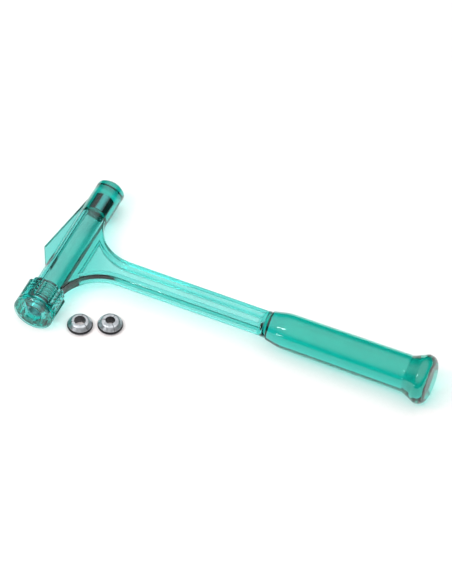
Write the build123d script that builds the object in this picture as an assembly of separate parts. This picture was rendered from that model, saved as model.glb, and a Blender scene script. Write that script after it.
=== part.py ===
from build123d import *
import os
from math import atan2, degrees, pi, sqrt

# Inertia puller hammer with its screw cap and three jaw collets.
# One collet sits in the cap, and the other two lie on the floor beside the head.
# The pieces are drawn about the point where the head's axis crosses the handle's.
# The head runs along Y with its cap at -Y, and the handle runs along +X.  Millimetres.

# Head tube, its blind bore and the weight pressed into the bore's bottom
striking_end = 67.4
end_chamfer = 2.4
dome_from_end = 31.9
bore_radius = 7.0
weight_radius = 3.8
weight_length = 13.9
weight_chamfer = 0.4
weight_clearance = 0.02
nose_end = -48.0
nose_wall = 1.8
nose_chamfer = 0.6

# Screw thread between the nose of the head and the cap
thread_pitch = 3.0
thread_height = 1.1
thread_base_width = 1.9
thread_crest_width = 0.8
thread_clearance = 0.25
thread_cover = 0.4
cap_back_gap = 0.3
nose_thread_start = 2.0
rib_sink = 0.3

# Guide fin on the back of the head
fin_reach = 18.4
fin_peak = -2.0
fin_top = 49.5
fin_foot = -17.0
fin_thickness = 6.0
fin_tip_round = 1.6
fin_edge_round = 1.0

# I-section shaft and the web that joins it to the head
shaft_width = 16.8
shaft_thickness = 9.0
shaft_edge_round = 1.1
flange_width = 3.7
web_thickness = 3.2
root_sink = 1.0
striking_root_round = 33.0
cap_root_round = 31.0
recess_start = 14.0
recess_end = 143.0

# Grip, turned about the handle's axis
grip_start = 145.5
collar_radius = 9.3
collar_round = 0.8
collar_length = 2.8
shoulder_length = 4.0
shoulder_radius = 10.3
shoulder_round = 2.2
grip_radius = 12.6
neck_radius = 13.0
grip_swell = 9.0
swell_round = 30.0
neck_round = 4.0
flare_round = 3.0
butt_taper = 1.0
neck_from_end = 16.5
butt_radius = 17.4
butt_from_end = 6.6
butt_round = 5.5
butt_end = 268.0

# Screw cap
cap_back = -36.8
cap_wall = 4.15
cap_front_wall = 3.5
cap_disc_thickness = 2.2
cap_disc_round = 1.0
cap_groove_width = 1.2
cap_groove_depth = 1.4
cap_back_chamfer = 0.5
cap_hole_radius = 6.1
cap_hole_chamfer = 0.6
flute_count = 8
flute_radius = 3.2
flute_depth = 1.4
flute_stop = 1.0

# Collets, each three jaws held together by a rubber ring in a groove
jaw_count = 3
jaw_slit = 0.35
collet_height = 6.5
collet_lip_width = 0.9
collet_lip_height = 0.7
collet_body_overhang = 0.35
collet_body_top = 3.7
collet_cone_width = 2.25
collet_shoulder_round = 0.9
collet_crown_round = 2.0
ring_inset = 0.35
ring_section_radius = 1.25
ring_seat_clearance = 0.03
ring_side_clearance = 0.05
fitted_hole_radius = 4.7
fitted_collet_turn = 90.0
large_hole_radius = 3.9
small_hole_radius = 3.25
seat_clearance = 0.2
ring_chamber_clearance = 0.2
nose_clearance = 0.2

# Where the two loose collets lie, from the crossing of the axes, and how each is turned
large_collet_place = (28.6, -43.8)
large_collet_turn = -24.0
small_collet_place = (47.1, -34.8)
small_collet_turn = -43.0

# Sizes that follow from the ones above
tube_length = striking_end - cap_back
dome_centre = striking_end - dome_from_end
weight_pocket_radius = weight_radius + weight_clearance
weight_start = dome_centre + sqrt(bore_radius**2 - weight_pocket_radius**2)
thread_core_radius = bore_radius + nose_wall
tube_radius = thread_core_radius + thread_height + thread_cover
cap_bore_radius = thread_core_radius + thread_height + thread_clearance
cap_radius = cap_bore_radius + cap_wall
collet_base = nose_end - nose_clearance
cap_front = collet_base - collet_height - cap_front_wall
collet_lip_radius = bore_radius + collet_lip_width
collet_body_radius = collet_lip_radius + collet_body_overhang
collet_crown_radius = collet_body_radius - collet_cone_width
ring_centre_radius = collet_lip_radius - ring_inset
nose_thread_top = cap_back + cap_back_gap - thread_base_width / 2
nose_thread_turns = (nose_thread_top - nose_end - nose_thread_start) / thread_pitch
cap_thread_top = nose_thread_top - thread_pitch / 2
cap_thread_turns = (cap_thread_top - collet_base - thread_base_width / 2) / thread_pitch
# How far the handle climbs, in degrees, so that the cap and the wider butt both rest on the floor
handle_rise = degrees(atan2(butt_radius - cap_radius, butt_end - butt_from_end))


def turned(points, axis):
    """A solid turned about an axis from a half section that lies in the XY plane."""
    return revolve(make_face(Polyline(*points, close=True)), axis=axis)


def helical_rib(root_radius, crest_radius, turns):
    """A trapezoid thread rib that climbs +Z, from root_radius to crest_radius."""
    path = Helix(pitch=thread_pitch, height=turns * thread_pitch, radius=root_radius)
    section = Polyline(
        (root_radius, 0, -thread_base_width / 2),
        (crest_radius, 0, -thread_crest_width / 2),
        (crest_radius, 0, thread_crest_width / 2),
        (root_radius, 0, thread_base_width / 2),
        close=True,
    )
    return sweep(make_face(section), path=path, is_frenet=True)


def along_nose(piece, start):
    """Turn a piece that climbs +Z so that it runs towards the cap, from y = start."""
    return Pos(0, start, 0) * Rot(90, 0, 0) * piece


def head_outside():
    """The plain tube, its chamfered striking end and the smaller nose that the cap screws onto."""
    tube = turned(
        [
            (0, nose_end),
            (thread_core_radius - nose_chamfer, nose_end),
            (thread_core_radius, nose_end + nose_chamfer),
            (thread_core_radius, cap_back + cap_back_gap),
            (tube_radius, cap_back + cap_back_gap),
            (tube_radius, striking_end),
            (0, striking_end),
        ],
        Axis.Y,
    )
    return chamfer(tube.edges().group_by(Axis.Y)[-1], end_chamfer)


def head_cavity():
    """The bore that holds the cartridge, its domed bottom and the weight's pocket beyond it."""
    bore = turned(
        [
            (0, nose_end - 1),
            (bore_radius, nose_end - 1),
            (bore_radius, dome_centre),
            (weight_pocket_radius, dome_centre),
            (weight_pocket_radius, weight_start + weight_length),
            (0, weight_start + weight_length),
        ],
        Axis.Y,
    )
    return bore + Pos(0, dome_centre, 0) * Sphere(bore_radius)


def fin():
    """The flat guide fin on the back of the tube."""
    inside = -bore_radius - 1
    outline = make_face(
        Polyline((inside, fin_top), (-tube_radius, fin_top), (-fin_reach, fin_peak), (-tube_radius, fin_foot),
                 (inside, fin_foot), close=True)
    )
    outline = fillet(outline.vertices().sort_by(Axis.X)[0], fin_tip_round)
    plate = Pos(0, 0, -fin_thickness / 2) * extrude(outline, fin_thickness)
    rims = plate.edges().filter_by(Axis.Z, reverse=True).filter_by(lambda e: e.center().X < -tube_radius)
    return fillet(rims, fin_edge_round)


def beam_outline(tube_side, half_width, inset, end):
    """A strip along +X that flares by a round root on each side into the line x = tube_side."""
    outline = Pos(end / 2, 0) * Rectangle(end, 2 * half_width)
    for side, root_round in ((1, striking_root_round), (-1, cap_root_round)):
        root = root_round + inset
        foot = Pos(0, side * half_width) * Rectangle(tube_side + root, root, align=(Align.MIN, Align.CENTER))
        foot = Pos(0, side * root / 2) * foot
        outline += foot - Pos(tube_side + root, side * (half_width + root)) * Circle(root)
    behind_cap = Rectangle(end, tube_length, align=(Align.MIN, Align.MIN))
    return outline & Pos(0, cap_back + cap_back_gap) * behind_cap


def beam():
    """The I-section shaft and its flared root, hollowed from both faces down to the web."""
    tube_side = tube_radius - root_sink
    outline = beam_outline(tube_side, shaft_width / 2, 0, grip_start + collar_length)
    solid = Pos(0, 0, -shaft_thickness / 2) * extrude(outline, shaft_thickness)
    rims = solid.edges().filter_by(Axis.Z, reverse=True).filter_by(lambda e: e.center().X > tube_radius)
    solid = fillet(rims.filter_by(lambda e: e.center().X < grip_start), shaft_edge_round)
    recess = beam_outline(tube_side - flange_width, shaft_width / 2 - flange_width, flange_width, recess_end)
    recess -= Pos(recess_start / 2, 0) * Rectangle(recess_start, 4 * (striking_root_round + cap_root_round))
    pocket = extrude(recess, shaft_thickness)
    for side in (web_thickness / 2, -web_thickness / 2 - shaft_thickness):
        solid -= Pos(0, 0, side) * pocket
    return solid


def grip():
    """The round grip, from the collar at the shaft to the flared butt."""
    shoulder_start = grip_start + collar_length
    shoulder_end = shoulder_start + shoulder_length
    outline = [
        (grip_start, 0, 0),
        (grip_start, collar_radius, collar_round),
        (shoulder_start, collar_radius, 0),
        (shoulder_start, shoulder_radius - shoulder_round, 0),
        (shoulder_start + shoulder_round, shoulder_radius, 0),
        (shoulder_end + grip_swell, grip_radius, swell_round),
        (butt_end - neck_from_end, neck_radius, neck_round),
        (butt_end - butt_from_end, butt_radius, flare_round),
        (butt_end, butt_radius - butt_taper, butt_round),
        (butt_end, 0, 0),
    ]
    half_section = make_face(Polyline(*[(x, radius) for x, radius, _ in outline], close=True))
    for x, radius, rounding in outline:
        if rounding:
            corner = half_section.vertices().sort_by_distance((x, radius, 0))[0]
            half_section = fillet(corner, rounding)
    return revolve(half_section, axis=Axis.X)


def hammer_body():
    """The one clear moulding: head tube, fin, shaft and grip."""
    handle = Rot(0, -handle_rise, 0) * (beam() + grip() + fin())
    body = head_outside() + handle - head_cavity()
    rib = helical_rib(thread_core_radius - rib_sink, thread_core_radius + thread_height, nose_thread_turns)
    return body + along_nose(rib, nose_thread_top)


def head_weight():
    """The plain metal slug that fills the pocket."""
    slug = Cylinder(weight_radius, weight_length, align=(Align.CENTER, Align.CENTER, Align.MAX))
    return Pos(0, weight_start, 0) * Rot(90, 0, 0) * chamfer(slug.edges(), weight_chamfer)


def cap_outside():
    """The fluted skirt and the front disc, with a groove between them."""
    disc_back = cap_front + cap_disc_thickness
    skirt_front = disc_back + cap_groove_width
    solid = turned(
        [
            (0, cap_front),
            (cap_radius, cap_front),
            (cap_radius, disc_back),
            (cap_radius - cap_groove_depth, disc_back),
            (cap_radius - cap_groove_depth, skirt_front),
            (cap_radius, skirt_front),
            (cap_radius, cap_back),
            (0, cap_back),
        ],
        Axis.Y,
    )
    solid = fillet(solid.edges().group_by(Axis.Y)[0], cap_disc_round)
    solid = chamfer(solid.edges().group_by(Axis.Y)[-1], cap_back_chamfer)
    flute_end = skirt_front + flute_stop + flute_radius
    flute = Cylinder(flute_radius, cap_back + 1 - flute_end, align=(Align.CENTER, Align.CENTER, Align.MIN))
    flute += Sphere(flute_radius)
    around_skirt = Pos(0, flute_end, 0) * Rot(-90, 0, 0)
    places = PolarLocations(cap_radius + flute_radius - flute_depth, flute_count)
    return solid - [around_skirt * place * flute for place in places]


def cap_inside():
    """The threaded bore, the chamber round the rubber ring, the conical seat and the front hole."""
    chamber_radius = ring_centre_radius + ring_section_radius + ring_chamber_clearance
    cone_slope = (collet_height - collet_body_top) / (collet_body_radius - collet_crown_radius)
    cone_foot = collet_body_radius + seat_clearance
    seat_mouth = collet_body_top - (chamber_radius - cone_foot) * cone_slope
    seat_end = collet_body_top + (cone_foot - cap_hole_radius) * cone_slope
    solid = turned(
        [
            (0, cap_back + 1),
            (cap_bore_radius, cap_back + 1),
            (cap_bore_radius, collet_base),
            (chamber_radius, collet_base),
            (chamber_radius, collet_base - seat_mouth),
            (cap_hole_radius, collet_base - seat_end),
            (cap_hole_radius, cap_front + cap_hole_chamfer),
            (cap_hole_radius + cap_hole_chamfer, cap_front),
            (cap_hole_radius + cap_hole_chamfer, cap_front - 1),
            (0, cap_front - 1),
        ],
        Axis.Y,
    )
    return solid


def screw_cap():
    """The screw cap, with a thread rib that runs midway between the turns of the nose's rib."""
    shell = cap_outside() - cap_inside()
    rib = helical_rib(cap_bore_radius + rib_sink, cap_bore_radius - thread_height, cap_thread_turns)
    return shell + along_nose(rib, cap_thread_top)


def collet_blank(hole_radius):
    """The whole cone of a collet before it is slit, standing on its base with its crown at +Z."""
    groove_radius = ring_centre_radius - ring_section_radius - ring_seat_clearance
    groove_top = collet_lip_height + 2 * (ring_section_radius + ring_side_clearance)
    half_section = make_face(
        Polyline(
            (hole_radius, 0),
            (collet_lip_radius, 0),
            (collet_lip_radius, collet_lip_height),
            (groove_radius, collet_lip_height),
            (groove_radius, groove_top),
            (collet_body_radius, groove_top),
            (collet_body_radius, collet_body_top),
            (collet_crown_radius, collet_height),
            (hole_radius, collet_height),
            close=True,
        )
    )
    corners = half_section.vertices()
    shoulder = corners.filter_by(lambda v: abs(v.X - collet_body_radius) < 0.001).sort_by(Axis.Y)[-1:]
    crown = corners.filter_by(lambda v: abs(v.X - collet_crown_radius) < 0.001)
    half_section = fillet(shoulder, collet_shoulder_round)
    half_section = fillet(crown, collet_crown_round)
    return Rot(90, 0, 0) * revolve(half_section, axis=Axis.Y)


def collet(name, hole_radius, place):
    """The jaws and the rubber ring of one collet, by name, moved to their place."""
    from_axis = (Align.MIN, Align.CENTER, Align.CENTER)
    slit = Box(collet_body_radius + 1, jaw_slit, 3 * collet_height, align=from_axis)
    slits = [Rot(0, 0, number * 360 / jaw_count) * slit for number in range(jaw_count)]
    jaws = (collet_blank(hole_radius) - slits).solids()
    jaws = sorted(jaws, key=lambda jaw: atan2(jaw.center().Y, jaw.center().X) % (2 * pi))
    ring_height = collet_lip_height + ring_section_radius + ring_side_clearance
    pieces = {f"{name}_jaw_{number}": place * jaw for number, jaw in enumerate(jaws, 1)}
    pieces[f"{name}_o_ring"] = place * Pos(0, 0, ring_height) * Torus(ring_centre_radius, ring_section_radius)
    return pieces


def hammer():
    """Every piece by name, about the crossing of the two axes."""
    floor = -cap_radius
    pieces = {"hammer_body": hammer_body(), "head_weight": head_weight(), "screw_cap": screw_cap()}
    in_cap = Pos(0, collet_base, 0) * Rot(90, 0, 0) * Rot(0, 0, fitted_collet_turn)
    pieces |= collet("fitted_collet", fitted_hole_radius, in_cap)
    for name, hole_radius, (x, y), turn in (
        ("large_collet", large_hole_radius, large_collet_place, large_collet_turn),
        ("small_collet", small_hole_radius, small_collet_place, small_collet_turn),
    ):
        pieces |= collet(name, hole_radius, Pos(x, y, floor) * Rot(0, 0, turn))
    return pieces


def main():
    pieces = hammer()
    boxes = [piece.bounding_box() for piece in pieces.values()]
    middle_x = (min(box.min.X for box in boxes) + max(box.max.X for box in boxes)) / 2
    middle_y = (min(box.min.Y for box in boxes) + max(box.max.Y for box in boxes)) / 2
    to_origin = Pos(-middle_x, -middle_y, cap_radius)
    os.makedirs("parts", exist_ok=True)
    for name, piece in pieces.items():
        export_step(to_origin * piece, f"parts/{name}.step")
    crossing = to_origin.position
    print(f"axes cross at {crossing.X:.4f}, {crossing.Y:.4f}, {crossing.Z:.4f}")
    print(f"handle rises {handle_rise:.4f} deg")


main()
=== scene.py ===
import math

import bmesh
import bpy
from mathutils import Matrix, Vector


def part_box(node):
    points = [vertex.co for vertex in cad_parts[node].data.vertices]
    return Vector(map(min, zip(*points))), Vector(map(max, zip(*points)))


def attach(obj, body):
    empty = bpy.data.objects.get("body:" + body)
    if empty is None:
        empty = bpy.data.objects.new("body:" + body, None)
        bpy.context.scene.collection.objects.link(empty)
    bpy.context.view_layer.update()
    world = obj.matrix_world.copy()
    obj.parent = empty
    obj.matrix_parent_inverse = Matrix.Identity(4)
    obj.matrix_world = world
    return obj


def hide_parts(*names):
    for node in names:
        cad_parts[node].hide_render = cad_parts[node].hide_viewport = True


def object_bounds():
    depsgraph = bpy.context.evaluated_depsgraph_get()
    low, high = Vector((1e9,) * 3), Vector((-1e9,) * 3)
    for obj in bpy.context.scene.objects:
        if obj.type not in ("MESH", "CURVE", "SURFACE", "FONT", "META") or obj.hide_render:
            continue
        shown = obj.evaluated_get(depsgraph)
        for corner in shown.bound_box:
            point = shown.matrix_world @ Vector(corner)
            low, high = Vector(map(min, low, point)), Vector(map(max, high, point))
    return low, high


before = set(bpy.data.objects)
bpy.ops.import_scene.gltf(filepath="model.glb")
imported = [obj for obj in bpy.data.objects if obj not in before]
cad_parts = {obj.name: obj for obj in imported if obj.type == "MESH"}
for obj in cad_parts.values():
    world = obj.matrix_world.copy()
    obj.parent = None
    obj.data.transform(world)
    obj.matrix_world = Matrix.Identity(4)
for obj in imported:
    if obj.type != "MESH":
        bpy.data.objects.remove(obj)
cad_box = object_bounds()

# The hammer body is one clear moulding of teal polycarbonate: head tube, guide fin, shaft and grip.
# It is injection moulded in two halves of a polished steel tool, so it carries faint flow lines.
# Its striking end is scuffed, and its colour darkens over the last few millimetres towards that face.
PLASTIC_IOR = 1.585
PLASTIC_PASSES = (0.26, 0.92, 0.90, 1)
PLASTIC_DENSITY = 250.0
SKIN_DARK = (0.60, 0.75, 0.73)
SKIN_LIGHT = (0.66, 0.81, 0.78)
SHADOW_TINT = (1.0, 0.97, 0.97, 1)
FLOW_STRETCH = 0.06
POLISHED, SCUFFED = 0.02, 0.22


def start_material(name):
    """A material with its node tree, its shader, and the place of each point in metres."""
    material = bpy.data.materials.new(name)
    material.use_nodes = True
    tree = material.node_tree
    place = tree.nodes.new("ShaderNodeTexCoord").outputs["Object"]
    return material, tree, tree.nodes["Principled BSDF"], place


def mottle(tree, place, scale, detail=2.0):
    """Soft random patches; scale is about how many go to the metre."""
    noise = tree.nodes.new("ShaderNodeTexNoise")
    noise.inputs["Scale"].default_value = scale
    noise.inputs["Detail"].default_value = detail
    tree.links.new(place, noise.inputs["Vector"])
    return noise.outputs["Fac"]


def blend(tree, amount, first, last, start=0.0, end=1.0):
    """Colour that goes from first to last as amount goes from start to end."""
    ramp = tree.nodes.new("ShaderNodeValToRGB")
    low, high = ramp.color_ramp.elements
    low.position, high.position = start, end
    low.color, high.color = (*first, 1), (*last, 1)
    tree.links.new(amount, ramp.inputs["Fac"])
    return ramp.outputs["Color"]


def spread(tree, amount, first, last, start=0.0, end=1.0):
    """Number that goes from first to last as amount goes from start to end."""
    span = tree.nodes.new("ShaderNodeMapRange")
    span.inputs["From Min"].default_value = start
    span.inputs["From Max"].default_value = end
    span.inputs["To Min"].default_value = first
    span.inputs["To Max"].default_value = last
    tree.links.new(amount, span.inputs["Value"])
    return span.outputs["Result"]


def combine(tree, colour, other, how, amount=None):
    """Two colours multiplied or mixed; the amount of the other is whole unless it is given."""
    mix = tree.nodes.new("ShaderNodeMix")
    mix.data_type = "RGBA"
    mix.blend_type = how
    first_colour, second_colour, result = mix.inputs[6], mix.inputs[7], mix.outputs[2]
    tree.links.new(colour, first_colour)
    tree.links.new(other, second_colour)
    mix.inputs["Factor"].default_value = 1.0
    if amount:
        tree.links.new(amount, mix.inputs["Factor"])
    return result


def emboss(tree, shader, height, strength, depth):
    """Raise the surface by height, up to a depth in metres."""
    relief = tree.nodes.new("ShaderNodeBump")
    relief.inputs["Strength"].default_value = strength
    relief.inputs["Distance"].default_value = depth
    tree.links.new(height, relief.inputs["Height"])
    tree.links.new(relief.outputs["Normal"], shader.inputs["Normal"])


def clear_plastic(name, flow_axis, scuff_and_tone_from, scuff_and_tone_to, end_tone):
    """Tinted clear plastic: flow lines along flow_axis, with scuffs and a change of colour that set in
    along Y.
    """
    plastic, tree, shader, place = start_material(name)
    link = tree.links.new
    output = tree.nodes["Material Output"]
    shader.inputs["Transmission Weight"].default_value = 1.0
    shader.inputs["IOR"].default_value = PLASTIC_IOR
    tint = tree.nodes.new("ShaderNodeVolumeAbsorption")
    tint.inputs["Color"].default_value = PLASTIC_PASSES
    tint.inputs["Density"].default_value = PLASTIC_DENSITY
    link(tint.outputs["Volume"], output.inputs["Volume"])

    parts = tree.nodes.new("ShaderNodeSeparateXYZ")
    link(place, parts.inputs["Vector"])
    along = parts.outputs["Y"]
    clouds = mottle(tree, place, scale=45.0, detail=3.0)
    skin = blend(tree, clouds, SKIN_DARK, SKIN_LIGHT, start=0.3, end=0.7)
    # Across this stretch along Y the base colour is scaled by a factor: darker at the body's striking
    # face, slightly lighter at the cap's front.
    end_tone_ramp = spread(tree, along, 1.0, end_tone, start=scuff_and_tone_from, end=scuff_and_tone_to)
    link(combine(tree, skin, end_tone_ramp, "MULTIPLY"), shader.inputs["Base Color"])

    worn = spread(tree, along, POLISHED, SCUFFED, start=scuff_and_tone_from, end=scuff_and_tone_to)
    scuffs = tree.nodes.new("ShaderNodeMath")
    scuffs.operation = "MULTIPLY"
    link(worn, scuffs.inputs[0])
    link(mottle(tree, place, scale=900.0, detail=4.0), scuffs.inputs[1])
    link(scuffs.outputs["Value"], shader.inputs["Roughness"])

    stretch = tree.nodes.new("ShaderNodeMapping")
    stretch.inputs["Scale"].default_value = [FLOW_STRETCH if axis == flow_axis else 1.0 for axis in "XYZ"]
    link(place, stretch.inputs["Vector"])
    flow_lines = mottle(tree, stretch.outputs["Vector"], scale=260.0)
    emboss(tree, shader, flow_lines, strength=0.10, depth=0.00004)

    # Light on its way to the paper goes straight through, which keeps the shadow pale.
    straight = tree.nodes.new("ShaderNodeBsdfTransparent")
    straight.inputs["Color"].default_value = SHADOW_TINT
    ray = tree.nodes.new("ShaderNodeLightPath")
    either = tree.nodes.new("ShaderNodeMixShader")
    link(ray.outputs["Is Shadow Ray"], either.inputs["Fac"])
    link(shader.outputs["BSDF"], either.inputs[1])
    link(straight.outputs["BSDF"], either.inputs[2])
    link(either.outputs["Shader"], output.inputs["Surface"])
    return plastic


def finish_node(node, material):
    """Put a finish on a CAD solid."""
    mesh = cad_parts[node].data
    mesh.materials.clear()
    mesh.materials.append(material)


STRIKING_WEAR = 0.004
striking_face = cad_box[1][1]
finish_node("hammer_body", clear_plastic(
    "clear teal body", "X", striking_face - STRIKING_WEAR, striking_face, end_tone=0.3,
))

# The screw cap is a separate moulding of the same plastic, gripped and turned by its eight flutes.
# Fingers and the bench have scuffed its front, and its colour turns slightly lighter towards the front.
CAP_WEAR = 0.006
cap_front = cad_box[0][1]
finish_node("screw_cap", clear_plastic(
    "clear teal cap", "Y", cap_front + CAP_WEAR, cap_front, end_tone=1.05,
))

# The weight is a steel slug pressed into the head.  Its colour is painted light: near-black sides as
# painted shade, and a bright strip along the top turned to the camera, and along the opposite side, as a
# painted highlight.  The plastic has shrunk onto it, so it shows through with no gap round it.
CONTACT = 0.00001
SEAT_CLEARANCE = 0.00002
ROUND_SEGMENTS = 192
slug_low, slug_high = (Vector(corner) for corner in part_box("head_weight"))
slug_radius = (slug_high.x - slug_low.x) / 2 + SEAT_CLEARANCE + CONTACT
slug_mesh = bpy.data.meshes.new("steel_weight")
slug_shape = bmesh.new()
bmesh.ops.create_cone(
    slug_shape, cap_ends=True, segments=ROUND_SEGMENTS,
    radius1=slug_radius, radius2=slug_radius, depth=slug_high.y - slug_low.y + CONTACT,
)
bmesh.ops.rotate(slug_shape, matrix=Matrix.Rotation(math.pi / 2, 3, "X"), verts=slug_shape.verts)
slug_shape.to_mesh(slug_mesh)
slug_shape.free()
steel_weight = bpy.data.objects.new("steel_weight", slug_mesh)
bpy.context.scene.collection.objects.link(steel_weight)
steel_weight.location = (slug_low + slug_high) / 2
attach(steel_weight, "hammer")
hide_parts("head_weight")

HIGHLIGHT_TILT = math.radians(18)
HIGHLIGHT_FROM, HIGHLIGHT_TO = 0.84, 0.90
HIGHLIGHT_DARK, HIGHLIGHT_LIGHT = (0.50, 0.44, 0.46), (0.74, 0.66, 0.69)
SHADED_SIDE_DARK, SHADED_SIDE_LIGHT = (0.03, 0.03, 0.032), (0.06, 0.055, 0.055)
steel, tree, shader, place = start_material("steel with painted highlight and shade")
shader.inputs["Metallic"].default_value = 1.0
across = tree.nodes.new("ShaderNodeVectorMath")
across.operation = "DOT_PRODUCT"
across.inputs[1].default_value = (math.sin(HIGHLIGHT_TILT), 0, math.cos(HIGHLIGHT_TILT))
tree.links.new(place, across.inputs[0])
either_side = tree.nodes.new("ShaderNodeMath")
either_side.operation = "ABSOLUTE"
tree.links.new(across.outputs["Value"], either_side.inputs[0])
# Painted highlight: the bright strip lies where the slug's side faces the camera, and opposite it;
# elsewhere the near-black colour is painted shade.
highlight_strip = spread(
    tree, either_side.outputs["Value"], 0.0, 1.0,
    start=slug_radius * HIGHLIGHT_FROM, end=slug_radius * HIGHLIGHT_TO,
)
blotches = mottle(tree, place, scale=300.0)
black = blend(tree, blotches, SHADED_SIDE_DARK, SHADED_SIDE_LIGHT)
bright = blend(tree, blotches, HIGHLIGHT_DARK, HIGHLIGHT_LIGHT)
tree.links.new(combine(tree, black, bright, "MIX", highlight_strip), shader.inputs["Base Color"])
turning = tree.nodes.new("ShaderNodeTexWave")
turning.bands_direction = "Y"
turning.inputs["Scale"].default_value = 900.0
turning.inputs["Distortion"].default_value = 1.5
tree.links.new(place, turning.inputs["Vector"])
tree.links.new(spread(tree, turning.outputs["Fac"], 0.25, 0.36), shader.inputs["Roughness"])
slug_mesh.materials.append(steel)

# Each collet is turned from zinc alloy and then sawn into three jaws, so every face but the slits
# carries rings of tool marks.  The holes of the loose ones are darkened as painted shade, and that of the
# fitted one is lightened as painted light.
ZINC_DARK, ZINC_LIGHT = (0.37, 0.39, 0.415), (0.57, 0.60, 0.63)
HOLE_PAINTED_SHADE, HOLE_PAINTED_LIGHT = 0.28, 1.5
HOLE_EDGE = 0.0003
for collet, axis, square_to_axis, hole_radius, hole_painted_tone in (
    ("fitted", "Y", (1, 0, 1), 0.0047, HOLE_PAINTED_LIGHT),
    ("large", "Z", (1, 1, 0), 0.0039, HOLE_PAINTED_SHADE),
    ("small", "Z", (1, 1, 0), 0.00325, HOLE_PAINTED_SHADE),
):
    zinc, tree, shader, place = start_material(f"turned zinc {collet}")
    shader.inputs["Metallic"].default_value = 1.0
    ring_low, ring_high = (Vector(corner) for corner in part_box(f"{collet}_collet_o_ring"))
    from_centre = tree.nodes.new("ShaderNodeVectorMath")
    from_centre.operation = "SUBTRACT"
    from_centre.inputs[1].default_value = (ring_low + ring_high) / 2
    tree.links.new(place, from_centre.inputs[0])
    flatten = tree.nodes.new("ShaderNodeVectorMath")
    flatten.operation = "MULTIPLY"
    flatten.inputs[1].default_value = square_to_axis
    tree.links.new(from_centre.outputs["Vector"], flatten.inputs[0])
    from_axis = tree.nodes.new("ShaderNodeVectorMath")
    from_axis.operation = "LENGTH"
    tree.links.new(flatten.outputs["Vector"], from_axis.inputs[0])

    blotches = mottle(tree, place, scale=420.0, detail=5.0)
    zinc_colour = blend(tree, blotches, ZINC_DARK, ZINC_LIGHT, start=0.35, end=0.68)
    # Painted shade and light: inside the hole radius the zinc colour is scaled, darker for the loose
    # collets and lighter for the fitted one.
    hole_painted_light_and_shade = spread(
        tree, from_axis.outputs["Value"], hole_painted_tone, 1.0, start=hole_radius, end=hole_radius + HOLE_EDGE,
    )
    tree.links.new(combine(tree, zinc_colour, hole_painted_light_and_shade, "MULTIPLY"), shader.inputs["Base Color"])
    tree.links.new(spread(tree, blotches, 0.27, 0.42), shader.inputs["Roughness"])
    tool_marks = tree.nodes.new("ShaderNodeTexWave")
    tool_marks.wave_type = "RINGS"
    tool_marks.rings_direction = axis
    tool_marks.inputs["Scale"].default_value = 1100.0
    tool_marks.inputs["Distortion"].default_value = 0.6
    tree.links.new(from_centre.outputs["Vector"], tool_marks.inputs["Vector"])
    emboss(tree, shader, tool_marks.outputs["Fac"], strength=0.25, depth=0.00003)
    for number in (1, 2, 3):
        finish_node(f"{collet}_collet_jaw_{number}", zinc)

# The rings are moulded black nitrile rubber, stretched round the jaws in their groove.
# The rubber is satin, with a fine moulded grain and a trace of grey bloom.
RUBBER_IOR = 1.3
RUBBER_DARK, RUBBER_BLOOM = (0.004, 0.004, 0.005), (0.014, 0.014, 0.017)
rubber, tree, shader, place = start_material("black rubber")
shader.inputs["IOR"].default_value = RUBBER_IOR
bloom = mottle(tree, place, scale=350.0, detail=4.0)
tree.links.new(blend(tree, bloom, RUBBER_DARK, RUBBER_BLOOM), shader.inputs["Base Color"])
tree.links.new(spread(tree, bloom, 0.35, 0.6), shader.inputs["Roughness"])
emboss(tree, shader, mottle(tree, place, scale=2500.0), strength=0.3, depth=0.00002)
for collet in ("fitted", "large", "small"):
    finish_node(f"{collet}_collet_o_ring", rubber)

# The ground is a wide sheet of matt paper, white with a trace of warmth, lying just under the tool.
# It is stage, not part of the object.
PAPER_SIZE = 6.0
PAPER_DROP = 0.0002
PAPER_DARK, PAPER_LIGHT = (0.80, 0.75, 0.75), (0.84, 0.79, 0.79)
paper_mesh = bpy.data.meshes.new("ground_paper")
paper_shape = bmesh.new()
bmesh.ops.create_grid(paper_shape, x_segments=1, y_segments=1, size=PAPER_SIZE / 2)
paper_shape.to_mesh(paper_mesh)
paper_shape.free()
ground_paper = bpy.data.objects.new("ground_paper", paper_mesh)
bpy.context.scene.collection.objects.link(ground_paper)
ground_paper.location.z = -PAPER_DROP
paper, tree, shader, place = start_material("matt white paper")
shader.inputs["Roughness"].default_value = 0.9
fibres = mottle(tree, place, scale=400.0)
tree.links.new(blend(tree, fibres, PAPER_DARK, PAPER_LIGHT), shader.inputs["Base Color"])
paper_mesh.materials.append(paper)

# The studio has a bright ceiling and dim walls, dimmer behind the tool, which draw dark rims along the
# edges of clear plastic.  A broad box overhead lights the paper, and two bars lay short highlights on
# the grip.
SKY_STRENGTH = 1.6
BACK_WALL_DROP = 0.15
WALL_BRIGHTNESS = {0.0: 0.01, 0.34: 0.04, 0.56: 0.65, 0.75: 0.95, 1.0: 1.0}
world = bpy.data.worlds.new("studio")
bpy.context.scene.world = world
world.use_nodes = True
sky = world.node_tree
sky.nodes.clear()
direction = sky.nodes.new("ShaderNodeTexCoord")
parts = sky.nodes.new("ShaderNodeSeparateXYZ")
sky.links.new(direction.outputs["Generated"], parts.inputs["Vector"])
far_side = sky.nodes.new("ShaderNodeMath")
far_side.operation = "MAXIMUM"
far_side.inputs[1].default_value = 0.0
sky.links.new(parts.outputs["Y"], far_side.inputs[0])
height = sky.nodes.new("ShaderNodeMath")
height.operation = "MULTIPLY_ADD"
height.inputs[1].default_value = -BACK_WALL_DROP
sky.links.new(far_side.outputs["Value"], height.inputs[0])
sky.links.new(parts.outputs["Z"], height.inputs[2])
walls = sky.nodes.new("ShaderNodeValToRGB")
stops = walls.color_ramp.elements
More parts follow.
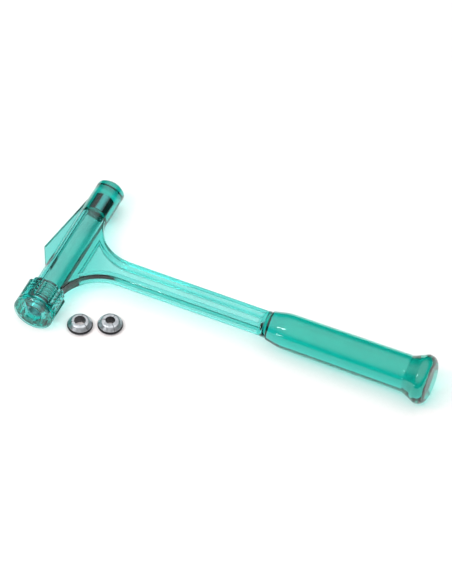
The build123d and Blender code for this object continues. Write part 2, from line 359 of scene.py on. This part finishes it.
for at, brightness in WALL_BRIGHTNESS.items():
    stop = stops[0] if at == 0.0 else stops[-1] if at == 1.0 else stops.new(at)
    stop.color = (brightness, brightness, brightness, 1)
sky.links.new(height.outputs["Value"], walls.inputs["Fac"])
glow = sky.nodes.new("ShaderNodeBackground")
glow.inputs["Strength"].default_value = SKY_STRENGTH
sky.links.new(walls.outputs["Color"], glow.inputs["Color"])
sky_out = sky.nodes.new("ShaderNodeOutputWorld")
sky.links.new(glow.outputs["Background"], sky_out.inputs["Surface"])

for name, place, along, size, power, mirrored in (
    ("ceiling_box", (-0.1, -0.9, 1.3), (1, 0, 0), (1.2, 0.8), 8, False),
    ("high_bar", (-0.66, -0.70, 1.08), (0.8, 0, 0.6), (0.50, 0.08), 4.0, True),
    ("low_bar", (-0.58, -1.27, 0.26), (1, 0, 0), (0.34, 0.10), 2.2, True),
):
    lamp = bpy.data.lights.new(name, "AREA")
    lamp.shape = "RECTANGLE"
    lamp.size, lamp.size_y = size
    lamp.energy = power
    box = bpy.data.objects.new(name, lamp)
    bpy.context.scene.collection.objects.link(box)
    box.visible_glossy = mirrored
    back = Vector(place).normalized()
    side = Vector(along)
    side = (side - side.dot(back) * back).normalized()
    turn = Matrix((side, back.cross(side), back)).transposed().to_4x4()
    box.matrix_world = Matrix.Translation(place) @ turn
bpy.context.scene.view_settings.view_transform = "Standard"

# The camera looks down on the tool through a long lens, from the cap's side,
# so that the handle runs down to the right.
VIEW_AZIMUTH = math.radians(22.94)
VIEW_ELEVATION = math.radians(49.464)
VIEW_ROLL = math.radians(1.89)
LENS_IN_WIDTHS = 9.956
PICTURE_WIDTH = 0.3094
AIM = Vector((-0.019347, 0.022282, 0.0))
SENSOR_MM = 36.0
FARTHEST_SEEN = 20
away = Vector((
    math.sin(VIEW_AZIMUTH) * math.cos(VIEW_ELEVATION),
    -math.cos(VIEW_AZIMUTH) * math.cos(VIEW_ELEVATION),
    math.sin(VIEW_ELEVATION),
))
camera_data = bpy.data.cameras.new("camera")
camera_data.sensor_fit = "HORIZONTAL"
camera_data.sensor_width = SENSOR_MM
camera_data.lens = SENSOR_MM * LENS_IN_WIDTHS
camera_data.clip_end = FARTHEST_SEEN
camera = bpy.data.objects.new("camera", camera_data)
bpy.context.scene.collection.objects.link(camera)
camera.location = AIM + away * LENS_IN_WIDTHS * PICTURE_WIDTH
look = away.to_track_quat("Z", "Y")
camera.rotation_mode = "QUATERNION"
camera.rotation_quaternion = look @ Matrix.Rotation(VIEW_ROLL, 4, "Z").to_quaternion()
bpy.context.scene.camera = camera
